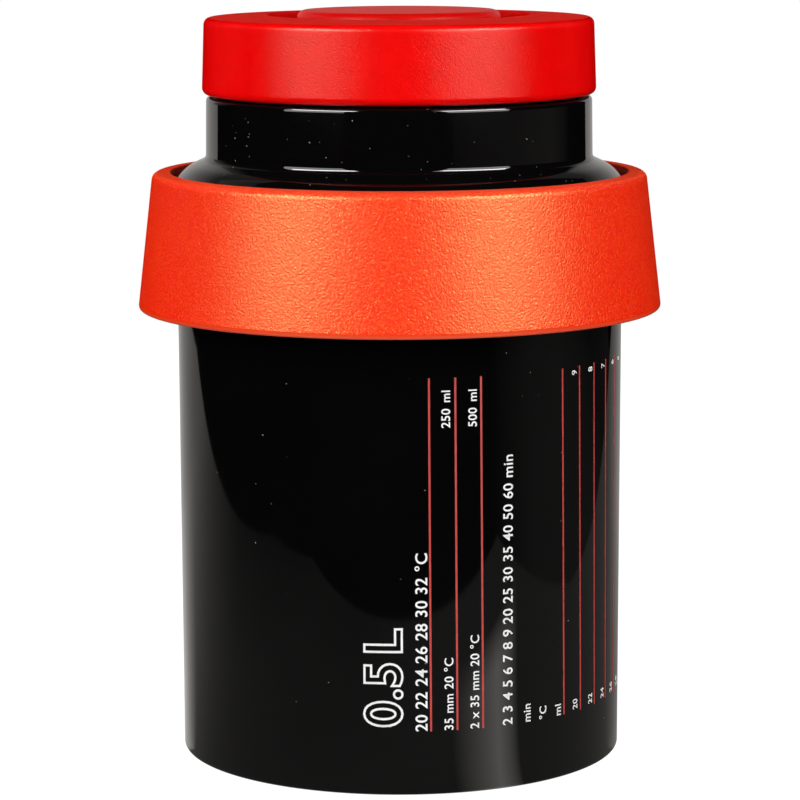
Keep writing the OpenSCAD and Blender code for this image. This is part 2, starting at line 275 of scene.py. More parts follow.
RING_TONES = ((0.91, 0.042, 0.0040, 1), (0.96, 0.050, 0.0048, 1))
RING_PIT_TONE = (0.84, 0.001, 0.0002, 1)
# Lower rim of the ring: painted shade, with a paler painted reflection of the white sheet at its foot
RING_RIM_SHADE_AND_REFLECTION_TONES = ((0.74, 0.085, 0.045, 1), (0.82, 0.042, 0.008, 1))
RING_SHEEN = (1.0, 0.80, 0.30, 1)
RING_ROUGHNESS = (0.38, 0.24)
RING_CROWN_ROUGHNESS = (0.3, 0.6)
RING_CROWN_DROP = (0.6, 0.1)
RING_PATCH_SIZE = 16
GRAIN_SIZE = 0.41
GRAIN_DEPTH = 0.13
GRAIN_PITS = (0.45, 0.58)
GRAIN_START = 0.3

CAP_TONES = ((0.78, 0.0005, 0.0007, 1), (0.85, 0.0008, 0.0010, 1))
# Top of the cap: painted darker than the skirt as painted shade, and pinker as a painted sheen
CAP_TOP_SHADE_AND_SHEEN_TONES = ((0.58, 0.010, 0.007, 1), (0.66, 0.018, 0.012, 1))
# Top of the button: painted darker as painted shade, and pinker as a painted sheen
BUTTON_TOP_SHADE_AND_SHEEN_TONES = ((0.56, 0.014, 0.010, 1), (0.64, 0.020, 0.014, 1))
# Groove walls, fold and the button's wall: painted darker as painted shade
FOLD_SHADE_TONES = ((0.53, 0.0008, 0.0008, 1), (0.60, 0.0010, 0.0010, 1))
CAP_SHEEN = (1.0, 0.8, 0.62, 1)
CAP_PATCH_SIZE = 3.5
CAP_FINE_SIZE = 0.30
CAP_FINE_DEPTH = 0.068
CAP_DULLER = 0.10

REEL_TONES = ((0.72, 0.70, 0.63, 1), (0.78, 0.765, 0.72, 1))
REEL_ROUGHNESS = (0.34, 0.46)
REEL_STAIN_SIZE = 18
REEL_FINE_SIZE = 0.5
REEL_GLOW = 0.15
REEL_GLOW_REACH = (0.9, 0.8, 0.6)
CORE_TONES = ((0.012, 0.012, 0.0125, 1), (0.021, 0.0205, 0.020, 1))
CORE_ROUGHNESS = (0.28, 0.42)
CORE_PATCH_SIZE = 12
CORE_FINE_SIZE = 0.4
MOULD_DEPTH = 0.012
STOP_TONES = ((0.60, 0.012, 0.010, 1), (0.70, 0.020, 0.015, 1))
STOP_ROUGHNESS = (0.16, 0.26)
STOP_PATCH_SIZE = 4

WHITE_INK_TONES = ((0.82, 0.82, 0.81, 1), (0.94, 0.94, 0.93, 1))
RED_INK_TONES = ((0.48, 0.045, 0.038, 1), (0.60, 0.072, 0.060, 1))
INK_ROUGHNESS = 0.4
INK_PATCH_SIZE = 1.2
INK_FINE_SIZE = 0.3
INK_DEPTH = 0.006


def add(tree, kind, inputs=None, **settings):
    """A shader node whose inputs are set by name to a value or linked to a socket."""
    node = tree.nodes.new("ShaderNode" + kind)
    for key, value in settings.items():
        setattr(node, key, value)
    for key, value in (inputs or {}).items():
        if isinstance(value, bpy.types.NodeSocket):
            tree.links.new(value, node.inputs[key])
        else:
            node.inputs[key].default_value = value
    return node


def new_material(name):
    """A material and its tree, shader and object coordinates."""
    made = bpy.data.materials.new(name)
    made.use_nodes = True
    tree = made.node_tree
    shader = tree.nodes["Principled BSDF"]
    place = tree.nodes.new("ShaderNodeTexCoord").outputs["Object"]
    return made, tree, shader, place


def noise(tree, place, size, detail=2.0, rough=0.5, distortion=0.0):
    """Noise whose features are about size millimetres across."""
    return add(tree, "TexNoise", {
        "Vector": place,
        "Scale": 1 / (size * MM),
        "Detail": detail,
        "Roughness": rough,
        "Distortion": distortion,
    }).outputs["Fac"]


def between(tree, factor, low, high, least=0.3, most=0.7):
    """A number that goes from low to high as the factor goes from least to most, and no further."""
    return add(tree, "MapRange", {
        "Value": factor, "From Min": least, "From Max": most, "To Min": low, "To Max": high,
    }).outputs["Result"]


def blend_colour(tree, factor, first, second):
    inputs = {"Factor": factor, MIX_FIRST: first, MIX_SECOND: second}
    return add(tree, "Mix", inputs, data_type="RGBA").outputs[MIX_RESULT]


def math_node(tree, operation, first, second):
    return add(tree, "Math", {0: first, 1: second}, operation=operation).outputs[0]


def specks(tree, place, spacing, radius, share):
    """The brightness of scattered specks, and zero elsewhere. Share is how many of the places hold one."""
    cells = add(tree, "TexVoronoi", {"Vector": place, "Scale": 1 / (spacing * MM)})
    near = math_node(tree, "LESS_THAN", cells.outputs["Distance"], radius / spacing)
    chance = add(tree, "SeparateColor", {"Color": cells.outputs["Color"]}).outputs
    chosen = math_node(tree, "LESS_THAN", chance["Red"], share)
    return math_node(tree, "MULTIPLY", math_node(tree, "MULTIPLY", near, chosen), chance["Green"])


def bump(tree, height, depth, strength=1.0, below=None):
    """A bump of depth millimetres, over another bump if one is given."""
    inputs = {"Height": height, "Distance": depth * MM, "Strength": strength}
    if below is not None:
        inputs["Normal"] = below
    return add(tree, "Bump", inputs).outputs["Normal"]


def set_tone(tree, shader, tone):
    tree.links.new(tone, shader.inputs["Base Color"])


def set_roughness(tree, shader, roughness):
    tree.links.new(roughness, shader.inputs["Roughness"])


def set_relief(tree, shader, relief):
    tree.links.new(relief, shader.inputs["Normal"])


def gloss_black(name, dust_share):
    """Polished black moulding with faint smears, a slight wave and specks of dust that lie in clusters."""
    made, tree, shader, place = new_material(name)
    share = between(tree, noise(tree, place, DUST_CLUSTER), 0, dust_share, *DUST_CLUSTER_EDGE)
    dust = specks(tree, place, DUST_SPACING, DUST_R, share)
    tone = blend_colour(tree, noise(tree, place, BLACK_PATCH_SIZE, detail=3), *BLACK_TONES)
    set_tone(tree, shader, blend_colour(tree, dust, tone, DUST_TONE))
    smear = noise(tree, place, SMEAR_SIZE, detail=4, rough=0.6, distortion=0.8)
    dull = math_node(tree, "MULTIPLY", dust, DUST_ROUGHNESS)
    set_roughness(tree, shader, math_node(tree, "ADD", between(tree, smear, *BLACK_ROUGHNESS), dull))
    wave = bump(tree, noise(tree, place, WAVE_SIZE, detail=1), WAVE_DEPTH)
    set_relief(tree, shader, bump(tree, dust, DUST_DEPTH, strength=0.5, below=wave))
    return made


def grained_red():
    """Soft orange-red moulding with a leather grain, redder in its pits.

    Its crown is duller. Its lower rim is smooth, with painted shade and, at its foot, a painted reflection
    of the sheet.
    """
    made, tree, shader, place = new_material("ring_grained_red")
    shader.inputs["Specular IOR Level"].default_value = 1.0
    shader.inputs["Specular Tint"].default_value = RING_SHEEN
    patch = noise(tree, place, RING_PATCH_SIZE, detail=3, rough=0.55)
    grain = noise(tree, place, GRAIN_SIZE, rough=0.55, distortion=0.3)
    tone = blend_colour(tree, between(tree, patch, 0, 1), *RING_TONES)
    pitted = blend_colour(tree, between(tree, grain, 0, 1, *GRAIN_PITS), RING_PIT_TONE, tone)
    height = add(tree, "SeparateXYZ", {"Vector": place}).outputs["Z"]
    rim_z = (RING_Z + RING_RIM_H) * MM
    skirt = between(tree, height, 0, 1, rim_z, rim_z + GRAIN_START * MM)
    # The lower rim is painted darker, and paler towards its foot: painted shade and a painted reflection of
    # the sheet
    rim = blend_colour(tree, between(tree, height, 0, 1, RING_Z * MM, rim_z), *RING_RIM_SHADE_AND_REFLECTION_TONES)
    set_tone(tree, shader, blend_colour(tree, skirt, rim, pitted))
    crown_from, crown_to = ((RING_CROWN_Z - drop) * MM for drop in RING_CROWN_DROP)
    crown = between(tree, height, *RING_CROWN_ROUGHNESS, crown_from, crown_to)
    worn = between(tree, grain, *RING_ROUGHNESS)
    set_roughness(tree, shader, math_node(tree, "MAXIMUM", worn, crown))
    relief = math_node(tree, "MULTIPLY", grain, skirt)
    set_relief(tree, shader, bump(tree, relief, GRAIN_DEPTH))
    return made


def satin_red(name, tones, specular, roughness):
    """Soft red moulding with a very fine texture and a patchy sheen."""
    made, tree, shader, place = new_material(name)
    shader.inputs["Specular IOR Level"].default_value = specular
    shader.inputs["Specular Tint"].default_value = CAP_SHEEN
    patch = noise(tree, place, CAP_PATCH_SIZE, detail=3, rough=0.6)
    fine = noise(tree, place, CAP_FINE_SIZE, rough=0.55)
    set_tone(tree, shader, blend_colour(tree, between(tree, patch, 0, 1), *tones))
    set_roughness(tree, shader, between(tree, fine, roughness + CAP_DULLER, roughness))
    set_relief(tree, shader, bump(tree, fine, CAP_FINE_DEPTH))
    return made


def reel_white():
    """Off-white nylon, slightly waxy, with faint stains."""
    made, tree, shader, place = new_material("reel_nylon_white")
    stain = noise(tree, place, REEL_STAIN_SIZE, detail=4, rough=0.6)
    set_tone(tree, shader, blend_colour(tree, between(tree, stain, 0, 1), *REEL_TONES))
    shader.inputs["Subsurface Weight"].default_value = REEL_GLOW
    shader.inputs["Subsurface Radius"].default_value = REEL_GLOW_REACH
    shader.inputs["Subsurface Scale"].default_value = MM
    set_roughness(tree, shader, between(tree, stain, *REEL_ROUGHNESS))
    set_relief(tree, shader, bump(tree, noise(tree, place, REEL_FINE_SIZE), MOULD_DEPTH))
    return made


def satin_black():
    """Fine-textured black moulding."""
    made, tree, shader, place = new_material("core_satin_black")
    patch = noise(tree, place, CORE_PATCH_SIZE, detail=3)
    set_tone(tree, shader, blend_colour(tree, patch, *CORE_TONES))
    set_roughness(tree, shader, between(tree, patch, *CORE_ROUGHNESS))
    set_relief(tree, shader, bump(tree, noise(tree, place, CORE_FINE_SIZE), MOULD_DEPTH))
    return made


def stop_red():
    """Glossy red moulding of the film stops."""
    made, tree, shader, place = new_material("stop_gloss_red")
    patch = noise(tree, place, STOP_PATCH_SIZE, detail=3)
    set_tone(tree, shader, blend_colour(tree, patch, *STOP_TONES))
    set_roughness(tree, shader, between(tree, patch, *STOP_ROUGHNESS))
    return made


def ink(name, tones):
    """Screen-printed ink, a little thinner in places."""
    made, tree, shader, place = new_material(name)
    shader.inputs["Roughness"].default_value = INK_ROUGHNESS
    cover = noise(tree, place, INK_PATCH_SIZE, detail=3, rough=0.6)
    set_tone(tree, shader, blend_colour(tree, between(tree, cover, 0, 1), *tones))
    set_relief(tree, shader, bump(tree, noise(tree, place, INK_FINE_SIZE, detail=1), INK_DEPTH))
    return made


BODY_BLACK = gloss_black("body_gloss_black", BODY_DUST)
LID_BLACK = gloss_black("lid_gloss_black", LID_DUST)
CORE_BLACK = satin_black()
RING_RED = grained_red()
CAP_RED = satin_red("cap_satin_red", CAP_TONES, specular=0.32, roughness=0.15)
# Copy of the cap's red for its top, with painted shade and a painted sheen
CAP_TOP_SHADE_AND_SHEEN_RED = satin_red("cap_top_shade_and_sheen_red", CAP_TOP_SHADE_AND_SHEEN_TONES, specular=0.10, roughness=0.60)
# Copy for the button's top, with painted shade and a painted sheen
BUTTON_TOP_SHADE_AND_SHEEN_RED = satin_red("cap_button_shade_and_sheen_red", BUTTON_TOP_SHADE_AND_SHEEN_TONES, specular=0.22, roughness=0.45)
# Copy for the groove, the fold and the button's wall, painted darker as painted shade
FOLD_SHADE_RED = satin_red("cap_fold_shade_red", FOLD_SHADE_TONES, specular=0.10, roughness=0.30)
REEL_WHITE = reel_white()
STOP_RED = stop_red()
INK_WHITE = ink("ink_white", WHITE_INK_TONES)
INK_RED = ink("ink_red", RED_INK_TONES)


def dress(piece, look, body, slot, *nodes):
    """Give a piece its material, put it on its body and let it stand for its CAD nodes."""
    piece.data.materials.append(look)
    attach(piece, body)
    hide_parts(*nodes)


# Turned pieces

def tank_body(bm):
    """Cup with a foot ring, a clamping flange and the cross on its floor that centres the core."""
    foot_bore_r = FOOT_R - FOOT_W
    add_lathe(bm, [
        (FOOT_R, 0, SOFT_R),
        (BODY_R, RING_GRIP_Z, EDGE_R),
        (FLANGE_R, RING_GRIP_Z, SOFT_R),
        (FLANGE_R, RIM_Z, EDGE_R),
        (MOUTH_R, RIM_Z, EDGE_R),
        (FLOOR_R, FLOOR_Z, FLOOR_FILLET),
        (0, FLOOR_Z, 0),
        (0, FOOT_RECESS, 0),
        (foot_bore_r, FOOT_RECESS, EDGE_R),
        (foot_bore_r, 0, EDGE_R),
    ])
    for turn in (math.pi / 4, 3 * math.pi / 4):
        add_box(bm, (CROSS_L, CROSS_T, CROSS_H), (0, 0, FLOOR_Z + CROSS_H / 2), turn)


body = new_object("body_shell", tank_body)
dress(body, BODY_BLACK, "tank", "body_black", "tank_body")

neck_bore_r = NECK_R - LID_WALL
lid_edge = Vector((LID_EDGE_R, LID_EDGE_Z))
neck_foot = Vector((NECK_R, SHOULDER_Z))
along = (neck_foot - lid_edge).normalized()
knee = (lid_edge + neck_foot) / 2 + SHOULDER_BULGE * Vector((along.y, -along.x))
lid = lathe("lid_moulding", [
    (PLUG_R, PLUG_Z, SOFT_R),
    (PLUG_R, RIM_Z, 0),
    (FLANGE_R, RIM_Z, EDGE_R),
    (FLANGE_R, LID_FLANGE_Z, EDGE_R),
    (LID_EDGE_R, LID_FLANGE_Z, EDGE_R),
    (*lid_edge, SOFT_R),
    (*knee, KNEE_FILLET),
    (*neck_foot, SHOULDER_FILLET),
    (NECK_TOP_R, LEDGE_Z, SOFT_R),
    (SPIGOT_R, LEDGE_Z, EDGE_R),
    (SPIGOT_R, SPIGOT_Z, EDGE_R),
    (SPIGOT_BORE_R, SPIGOT_Z, EDGE_R),
    (SPIGOT_BORE_R, LEDGE_Z - LID_WALL, EDGE_R),
    (neck_bore_r, LEDGE_Z - LID_WALL, EDGE_R),
    (neck_bore_r, SHOULDER_Z - LID_WALL, SOFT_R),
    (PLUG_BORE_R, LID_EDGE_Z - LID_WALL, SOFT_R),
    (PLUG_BORE_R, PLUG_Z, EDGE_R),
])
dress(lid, LID_BLACK, "lid", "lid_black", "lid_shell")

slope = math.atan((FUNNEL_R - TUBE_R) / (SPIGOT_Z - THROAT_Z))
cone_wall = FUNNEL_WALL / math.cos(slope)
cone_mouth_r = FUNNEL_R + (FUNNEL_RIM_Z - SPIGOT_Z) * math.tan(slope) - cone_wall
inner_throat_z = THROAT_Z + (cone_wall - FUNNEL_WALL) / math.tan(slope)
funnel = lathe("funnel_moulding", [
    (TUBE_BORE_R, TUBE_END_Z, EDGE_R),
    (TUBE_R, TUBE_END_Z, EDGE_R),
    (TUBE_R, THROAT_Z, THROAT_FILLET),
    (FUNNEL_R, SPIGOT_Z, EDGE_R),
    (SPIGOT_R, SPIGOT_Z, 0),
    (SPIGOT_R, FUNNEL_RIM_Z, EDGE_R),
    (cone_mouth_r, FUNNEL_RIM_Z, EDGE_R),
    (TUBE_BORE_R, inner_throat_z, THROAT_FILLET),
])
dress(funnel, CORE_BLACK, "lid", "core_black", "lid_funnel")

ring = lathe("ring_moulding", [
    (RING_EDGE_R - RING_SKIRT_T, RING_Z, EDGE_R),
    (RING_EDGE_R - RING_RIM_TAPER, RING_Z, RING_EDGE_FILLET),
    (RING_EDGE_R, RING_Z + RING_RIM_H, EDGE_R),
    (RING_CROWN_R, RING_CROWN_Z, RING_CROWN_FILLET),
    (RING_LIP_R, RING_TOP_Z, EDGE_R),
    (RING_LIP_R, LID_FLANGE_Z, EDGE_R),
    (RING_BORE_R, LID_FLANGE_Z, 0),
    (RING_BORE_R, RING_GRIP_Z, SOFT_R),
])
dress(ring, RING_RED, "ring", "ring_red", "sealing_ring")

bead_z = CAP_Z + CAP_WALL
bead_h = 2 * SOFT_R
cap = lathe("cap_moulding", [
    (CAP_BORE_R, CAP_Z, EDGE_R),
    (CAP_R, CAP_Z, CAP_EDGE_R),
    (CAP_TOP_R, CAP_TOP_Z, CAP_EDGE_R),
    (GROOVE_R, CAP_TOP_Z + CAP_CROWN, EDGE_R),
    (GROOVE_R, GROOVE_Z, 0),
    (GROOVE_R + BELLOWS_T, GROOVE_Z, 0),
    (GROOVE_R + BELLOWS_T, FUNNEL_RIM_Z, EDGE_R),
    (CAP_BORE_R, FUNNEL_RIM_Z, EDGE_R),
    (CAP_BORE_R, bead_z + bead_h, 0),
    (CAP_BORE_R - CAP_BEAD, bead_z + bead_h / 2, 0),
    (CAP_BORE_R, bead_z, 0),
])
dress(cap, CAP_RED, "cap", "cap_red", "cap_skirt")
cap.data.materials.append(CAP_TOP_SHADE_AND_SHEEN_RED)
cap.data.materials.append(FOLD_SHADE_RED)
for face in cap.data.polygons:
    # The top's faces take the copy with painted shade and a painted sheen
    if face.center.z > (CAP_TOP_Z - EDGE_R) * MM and face.normal.z > CAP_TOP_NORMAL:
        face.material_index = 1
    # The groove's faces take the copy painted darker as painted shade
    elif face.center.z > GROOVE_Z * MM and face.center.xy.length < (GROOVE_R + EDGE_R) * MM:
        face.material_index = 2

button = lathe("cap_centre_moulding", [
    (0, BUTTON_Z - BUTTON_T, 0),
    (BUTTON_R - BELLOWS_T, BUTTON_Z - BUTTON_T, EDGE_R),
    (BUTTON_R - BELLOWS_T, BELLOWS_Z, 0),
    (BUTTON_R, BELLOWS_Z, 0),
    (BUTTON_R, BUTTON_Z, BUTTON_EDGE_R),
    (0, BUTTON_Z, 0),
])
# The button's wall and rounding take the copy painted darker as painted shade
dress(button, FOLD_SHADE_RED, "cap_centre", "cap_red", "cap_button")
button.data.materials.append(BUTTON_TOP_SHADE_AND_SHEEN_RED)
for face in button.data.polygons:
    # The button's top takes the copy with painted shade and a painted sheen
    if face.normal.z > BUTTON_TOP_NORMAL:
        face.material_index = 1

bellows = lathe("cap_fold", [
    (BUTTON_R - BELLOWS_T, GROOVE_Z - BELLOWS_T, SOFT_R),
    (GROOVE_R + BELLOWS_T, GROOVE_Z - BELLOWS_T, EDGE_R),
    (GROOVE_R + BELLOWS_T, GROOVE_Z, 0),
    (BUTTON_R, GROOVE_Z, EDGE_R),
    (BUTTON_R, BELLOWS_Z, 0),
    (BUTTON_R - BELLOWS_T, BELLOWS_Z, 0),
])
# The fold takes the copy painted darker as painted shade
bellows.data.materials.append(FOLD_SHADE_RED)
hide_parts("cap_bellows")
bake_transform(bellows)

# Inner pieces keep their CAD shape
INNER_LOOKS = {"core": CORE_BLACK, "half": REEL_WHITE, "stop": STOP_RED}
for name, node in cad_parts.items():
    for ending, look in INNER_LOOKS.items():
        if name.endswith(ending):
            node.data.materials.clear()
            node.data.materials.append(look)


# Print on the body: plain figures and units, read from the foot upwards

PRINT_LOW = 12.2
PRINT_HIGH = 78.4
INK_T = 0.04
INK_WEIGHT = 0.016
RULE_W = 0.37
# The rules draw together a little towards their heads
RULE_LEAN = 0.2
RULE_NARROWING = 0.02
RULE_ARCS = (5.6, 10.6, 15.65, 34.4, 39.5, 44.7, 50.0, 55.5)
# Text: height of a capital in the font's own unit, space between letters, steps of a curve, and how close
# two points lie that count as one, in metres and in digits of a millimetre
CAPITAL_H = 0.729
LETTER_GAP = 1.06
CURVE_STEPS = 5
SAME_POINT = 1e-7
SAME_PLACE_DIGITS = 5
# The large volume in outline, with the longest stretch of its line and the least cosine at its corners
VOLUME = "0.5 L"
VOLUME_ARC = 0.0
VOLUME_LOW = 13.2
VOLUME_H = 7.0
VOLUME_WEIGHT = 0.2
VOLUME_STROKE = 0.42
VOLUME_GAP = 0.3
OUTLINE_STEP = 0.7
MITRE_LEAST = 0.45
# Each line of print: words, arc of its letters' feet, height of its start, height of its capitals and
# space between its words
PRINT_LINES = (
    ("20 22 24 26 28 30 32 °C", 4.9, PRINT_LOW, 2.3, 1.0),
    ("35 mm 20 °C", 9.8, PRINT_LOW, 1.75, 1.0),
    ("250 ml", 9.2, 69.1, 1.7, 1.45),
    ("2 x 35 mm 20 °C", 14.8, PRINT_LOW, 1.75, 1.0),
    ("500 ml", 14.3, 69.1, 1.7, 1.45),
    ("2 3 4 5 6 7 8 9 20 25 30 35 40 50 60 min", 21.7, PRINT_LOW, 2.1, 1.0),
    ("min", 25.8, PRINT_LOW, 1.7, 1.0),
    ("°C", 29.6, PRINT_LOW, 1.7, 1.0),
    ("ml", 33.5, PRINT_LOW, 1.7, 1.0),
)
# Figures at the foot and head of each narrow column
COLUMN_FIGURES = (("20", "9"), ("22", "8"), ("24", "7"), ("26", "6"), ("28", "5"))
COLUMN_ARC = 38.4
COLUMN_STEP = 5.3
COLUMN_H = 1.45
COLUMN_LOW = 12.6
COLUMN_HEAD_LOW = 76.8
COLUMN_HEAD_SHIFT = 0.8


def on_body(arc, height, lift):
    """The point over the body's wall at an arc from the front, a height and a lift in millimetres."""
    radius = FOOT_R + (BODY_R - FOOT_R) * height / RING_GRIP_Z
    turn = arc / radius
    out = radius + lift
    return Vector((out * math.sin(turn), -out * math.cos(turn), height)) * MM


def text_mesh(words, letter_h, weight, thick, gap=1.0):
    """Points and faces of a line of text, with its foot and its middle plane at zero."""
    curve = bpy.data.curves.new("line", "FONT")
    curve.body = words
    curve.size = letter_h / CAPITAL_H
    curve.offset = weight
    curve.extrude = thick
    curve.space_word = gap
    curve.space_character = LETTER_GAP
    curve.resolution_u = CURVE_STEPS
    holder = bpy.data.objects.new("line", curve)
    mesh = holder.to_mesh()
    points = [vert.co.copy() for vert in mesh.vertices]
    faces = [tuple(face.vertices) for face in mesh.polygons]
    holder.to_mesh_clear()
    bpy.data.objects.remove(holder)
    bpy.data.curves.remove(curve)
    return points, faces


def add_text(bm, words, foot_arc, low, letter_h, gap=1.0):
    """Text that runs up the body from height low, with the feet of its letters at foot_arc."""
    points, faces = text_mesh(words, letter_h, INK_WEIGHT * letter_h, INK_T, gap)
    verts = [bm.verts.new(on_body(foot_arc - p.y, low + p.x, p.z)) for p in points]
    for face in faces:
        bm.faces.new([verts[i] for i in face])
    bmesh.ops.remove_doubles(bm, verts=verts, dist=SAME_POINT)


def merged(points, faces):
    """The mesh with points that share a place made one."""
    places = {}
    index = []
    kept = []
    for p in points:
        key = (round(p.x, SAME_PLACE_DIGITS), round(p.y, SAME_PLACE_DIGITS))
        if key not in places:
            places[key] = len(kept)
            kept.append(p)
        index.append(places[key])
    return kept, [tuple(index[i] for i in face) for face in faces]


def outline_loops(points, faces):
    """The closed outlines of a flat mesh, each as a list of points in order."""
    uses = {}
    for face in faces:
        for a, b in zip(face, face[1:] + face[:1]):
            if (b, a) in uses:
                del uses[(b, a)]
            else:
                uses[(a, b)] = True
    after = {a: b for a, b in uses}
    loops = []
    while after:
        first, here = after.popitem()
        loop = [points[first]]
        while here != first:
            loop.append(points[here])
            here = after.pop(here)
        loops.append(loop)
    return loops


def divided(loop, longest):
    """The same closed line with no stretch longer than longest."""
    line = []
    for a, b in zip(loop, loop[1:] + loop[:1]):
        parts = max(1, math.ceil((b - a).length / longest))
        line += [a.lerp(b, k / parts) for k in range(parts)]
    return line


def add_outlined_text(bm, words, foot_arc, low, letter_h):
    """Hollow letters, each outline a ribbon of ink."""
    points, faces = text_mesh(words, letter_h, VOLUME_WEIGHT, 0, VOLUME_GAP)
    for loop in outline_loops(*merged(points, faces)):
        line = divided(loop, OUTLINE_STEP)
        rows = []
        for k, at in enumerate(line):
            before = (at - line[k - 1]).to_2d().normalized()
            onward = (line[(k + 1) % len(line)] - at).to_2d().normalized()
            side = Vector((-(before + onward).y, (before + onward).x)).normalized()
            reach = VOLUME_STROKE / 2 / max(MITRE_LEAST, side.dot(Vector((-onward.y, onward.x))))
            row = []
            for sign, lift in ((-1, -INK_T), (1, -INK_T), (1, INK_T), (-1, INK_T)):
                x, y = at.x + sign * reach * side.x, at.y + sign * reach * side.y
                row.append(bm.verts.new(on_body(foot_arc - y, low + x, lift)))
            rows.append(row)
        for k, row in enumerate(rows):
            following = rows[(k + 1) % len(rows)]
            for i in range(len(row)):
                j = (i + 1) % len(row)
                bm.faces.new((row[i], row[j], following[j], following[i]))


def add_rule(bm, arc):
    """One straight rule up the body."""
    corners = []
    head_arc = arc * (1 - RULE_NARROWING) - RULE_LEAN
    for lift in (-INK_T, INK_T):
        for side in (-RULE_W / 2, RULE_W / 2):
            for middle, height in ((arc, PRINT_LOW), (head_arc, PRINT_HIGH)):
                corners.append(bm.verts.new(on_body(middle + side, height, lift)))
    for face in ((0, 1, 3, 2), (4, 6, 7, 5), (0, 2, 6, 4), (1, 5, 7, 3), (0, 4, 5, 1), (2, 3, 7, 6)):
        bm.faces.new([corners[i] for i in face])


def red_rules(bm):
    for arc in RULE_ARCS:
        add_rule(bm, arc)


def white_print(bm):
    add_outlined_text(bm, VOLUME, VOLUME_ARC, VOLUME_LOW, VOLUME_H)
    for words, arc, low, letter_h, gap in PRINT_LINES:
        add_text(bm, words, arc, low, letter_h, gap)
    for k, (foot_figure, head_figure) in enumerate(COLUMN_FIGURES):
        arc = COLUMN_ARC + k * COLUMN_STEP
        add_text(bm, foot_figure, arc, COLUMN_LOW, COLUMN_H)
        add_text(bm, head_figure, arc - COLUMN_HEAD_SHIFT, COLUMN_HEAD_LOW, COLUMN_H)


for name, maker, look in (("print_red", red_rules, INK_RED), ("print_white", white_print, INK_WHITE)):
    piece = new_object(name, maker)
    piece.data.materials.append(look)
    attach(piece, "tank")


# Camera, at the photograph's viewing angle

CAMERA_AT = (0, -0.67128, 0.17133)
CAMERA_PITCH = math.radians(8.762)
CAMERA_ROLL = math.radians(-0.17)
CAMERA_LENS = 156.76
CAMERA_SENSOR = 36.0
CAMERA_NEAR = 0.01

camera_data = bpy.data.cameras.new("camera")
camera_data.lens = CAMERA_LENS
camera_data.sensor_width = CAMERA_SENSOR
camera_data.clip_start = CAMERA_NEAR
camera = bpy.data.objects.new("camera", camera_data)
camera.location = CAMERA_AT
tilt = Euler((math.pi / 2 - CAMERA_PITCH, 0, 0)).to_matrix()
roll = Euler((0, 0, CAMERA_ROLL)).to_matrix()
camera.rotation_euler = (tilt @ roll).to_euler()
bpy.context.scene.collection.objects.link(camera)
bpy.context.scene.camera = camera


# Stage: white floor and surroundings, with a black globe that keeps the rest dark in reflections

AMBIENT = 0.015
FLOOR_GLOW = 0.90
FLOOR_ALBEDO = (0.25, 0.25, 0.25, 1)
# What shows in the gloss: outlines on the floor in millimetres, and levels over ranges in metres
CARD_TINT = (1.0, 0.975, 0.935, 1)
CARD_LIFT = 0.2
SHEET_CORNERS = (
    (-170, -188), (205, -190), (205, 0), (270, 140), (392, 402), (490, 655),
    (-466, 575), (-472, 346), (-287, -20), (-245, -125),
)
# The sheet's left half is paler towards the back, and its right half is even
SHEET_FRONT = (0, 0.06)
SHEET_FRONT_Y = (-0.2, -0.02)
SHEET_BEHIND = 0.32
SHEET_BEHIND_Y = (-0.02, 0.22)
SHEET_NEAR = 0.085
SHEET_NEAR_X = (-0.32, -0.12)
SHEET_FAR = 0.04
SHEET_FAR_Y = (0.25, 0.45)
SHEET_RIGHT = 0.16
SHEET_SIDE_X = (-0.05, 0.05)
# Least length that a slope is taken over
LEAST_RUN = 0.002
# The sheet is brightest close behind the object, in a wedge that opens from each of its sides
WEDGE_FROM = (0.042, -0.012)
WEDGE_SLOPE = (0.38, 0.95)
WEDGE_LEFT = (0.50, 0.09)
WEDGE_Y = (0.05, 0.25)
WEDGE_RIGHT = (0.10, 0.24)
# A beam of glare lies in front of the object's right side, between lines of these slopes
GLARE_FROM = (0.003, -0.025)
GLARE_LEVEL = 1.6
GLARE_RISE = (0.47, 1.22)
GLARE_FALL = (1.22, 1.9)
GLARE_END_Y = (-0.13, -0.10)
GLARE_START_Y = (-0.033, -0.028)
# Panels that stand behind the sheet, and to its right a table with a low panel on it
BACKDROP_FOOT = ((490, 660), (-466, 575))
BACKDROP_H = 1100
BACKDROP_LEVEL = 0.52
BACKDROP_TOP_LEVEL = 0.08
BACKDROP_FADE_Z = (0.24, 0.56)
WING_FOOT = ((-466, 575), (-572, 566))
WING_Z = (30, 110)
UPPER_WING_FOOT = ((-466, 575), (-900, 536))
UPPER_WING_Z = (110, 1100)
UPPER_WING_LEVEL = 0.18
UPPER_WING_FADE_X = (-0.47, -0.85)
TABLE_CORNERS = ((150, -190), (900, -900), (900, 600), (392, 402), (200, 0))
TABLE_NEAR = 0.088
TABLE_FAR = 0.022
TABLE_FADE_Y = (-0.05, 0.22)
TABLE_EDGE_SLOPE = (-1.0, -0.4)
STAND_FOOT = ((680, -1100), (760, 420))
STAND_H = 95
STAND_LEVEL = 0.095
STAND_DIM = 0.03
STAND_RISE_Y = (-1.0, -0.1)
STAND_FALL_Y = (0.1, 0.4)
GLOBE_R = 1.6
# Lamp that lies on the sheet
BOUNCE_AT = (0, -0.115, 0.003)
BOUNCE_SIZE = (0.34, 0.13)
BOUNCE_RADIANCE = 0.6
# Lamps: name, azimuth, elevation, distance, size and radiance. All are aimed at one point of the axis
LAMP_AIM = (0, 0, 0.08)
SOFTBOXES = (
    ("softbox_left", -51, 23, 0.9, (0.64, 0.72), 4.6),
    ("softbox_right", 47, 23, 0.9, (0.66, 0.72), 4.8),
)
